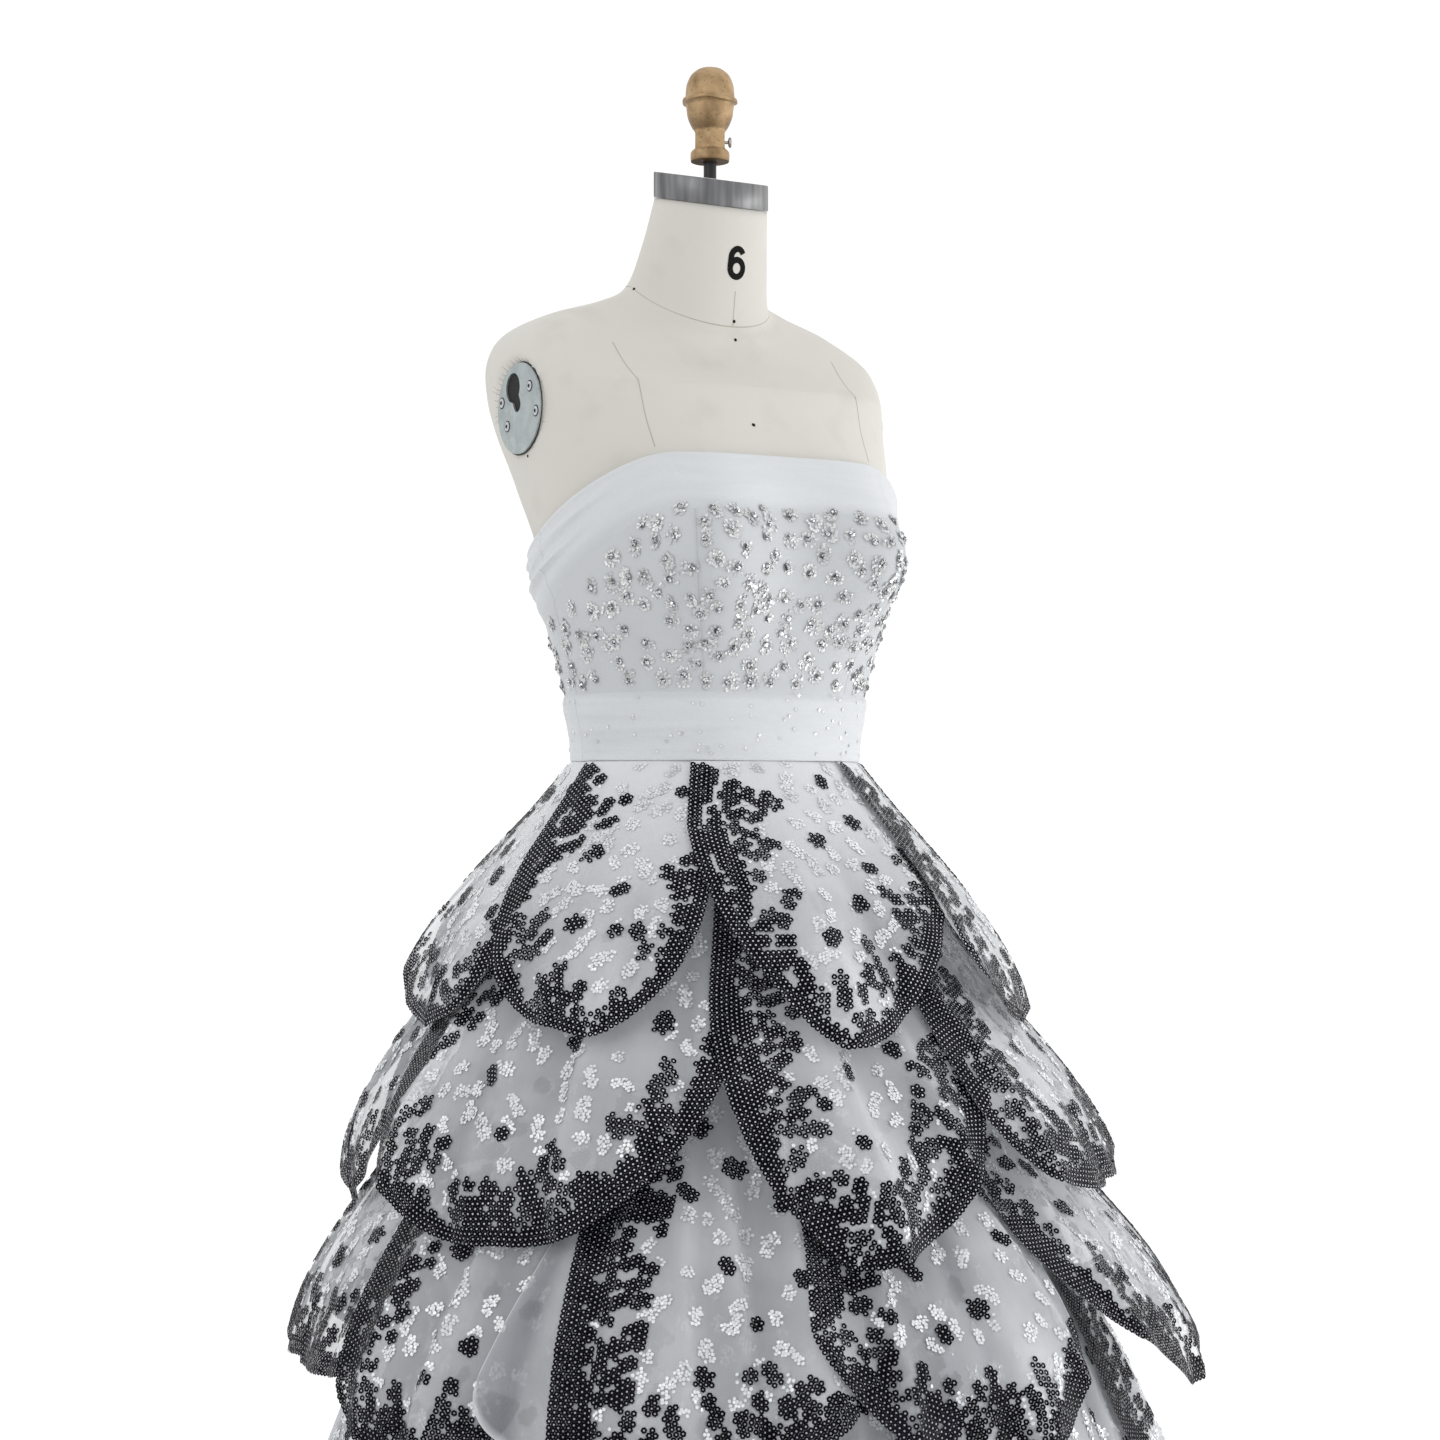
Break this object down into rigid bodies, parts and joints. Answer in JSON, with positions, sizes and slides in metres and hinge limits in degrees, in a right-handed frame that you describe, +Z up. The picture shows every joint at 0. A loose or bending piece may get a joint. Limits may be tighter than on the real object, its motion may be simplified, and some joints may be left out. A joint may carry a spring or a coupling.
{
  "type": "tiered midi dress and dress form",
  "caption": "Strapless midi dress with four tiers of scalloped sequin petals, on a limbless dress form with a turned knob, a post and a round base.",
  "frame": {"origin": "on the floor at the centre of the stand's base, under the post", "axes": "+Z up along the post, -Y the dress's front, +X the wearer's left"},
  "size_m": [0.7584, 0.7586, 1.611],
  "materials": {
    "canvas": "plain woven linen stretched over the form",
    "bodice_cloth": "off-white cloth under tulle, sewn with silver sequins and crystals",
    "tulle": "layers of fine white tulle, softly folded",
    "organza": "sheer white organza with black and silver sequins",
    "lining": "smooth off-white lining",
    "steel": "brushed round the neck",
    "zinc": "mottled galvanised steel",
    "gold_paint": "rough gold paint",
    "black_steel": "black, satin",
    "black_iron": "black paint, satin",
    "white_metal": "bright plated",
    "zip_nylon": "white nylon coil on woven tape"
  },
  "bodies": {
    "dress_and_form": {"arm_plate_left": "zinc", "arm_plate_right": "zinc", "bodice_back_left": "bodice_cloth", "bodice_back_right": "bodice_cloth", "bodice_centre_front": "bodice_cloth", "bodice_side_front_left": "bodice_cloth", "bodice_side_front_right": "bodice_cloth", "carrier_back_left": "lining", "carrier_back_right": "lining", "carrier_front": "lining", "form_torso": "canvas", "knob": "gold_paint", "knob_rod": "black_steel", "neck_cap": "steel", "neckline_band_back_left": "tulle", "neckline_band_back_right": "tulle", "neckline_band_front": "tulle", "stand_base": "black_iron", "stand_post": "black_steel", "tier1_petal1": "organza", "tier1_petal2": "organza", "tier1_petal3": "organza", "tier1_petal4": "organza", "tier1_petal5": "organza", "tier1_petal6": "organza", "tier1_petal7": "organza", "tier1_petal8": "organza", "tier2_petal1": "organza", "tier2_petal2": "organza", "tier2_petal3": "organza", "tier2_petal4": "organza", "tier2_petal5": "organza", "tier2_petal6": "organza", "tier2_petal7": "organza", "tier2_petal8": "organza", "tier3_petal1": "organza", "tier3_petal2": "organza", "tier3_petal3": "organza", "tier3_petal4": "organza", "tier3_petal5": "organza", "tier3_petal6": "organza", "tier3_petal7": "organza", "tier3_petal8": "organza", "tier3_petal9": "organza", "tier4_petal1": "organza", "tier4_petal2": "organza", "tier4_petal3": "organza", "tier4_petal4": "organza", "tier4_petal5": "organza", "tier4_petal6": "organza", "tier4_petal7": "organza", "tier4_petal8": "organza", "waist_sash_back_left": "tulle", "waist_sash_back_right": "tulle", "waist_sash_front": "tulle", "zip_chain": "zip_nylon", "zip_slider": "white_metal"},
    "thumbscrew": {"thumbscrew": "white_metal"},
    "zip_pull_tab": {"zip_pull_tab": "white_metal"}
  },
  "joints": [
    {"name": "thumbscrew_turn", "type": "hinge", "parent": "dress_and_form", "child": "thumbscrew", "pos_m": [0, 0.0096, 1.5492], "axis": [0.8572, -0.515, 0], "continuous": true},
    {"name": "zip_tab_flip", "type": "hinge", "parent": "dress_and_form", "child": "zip_pull_tab", "pos_m": [0, 0.12419, 1.19748], "axis": [1, 0, 0], "range_deg": [0, 165]}
  ]
}
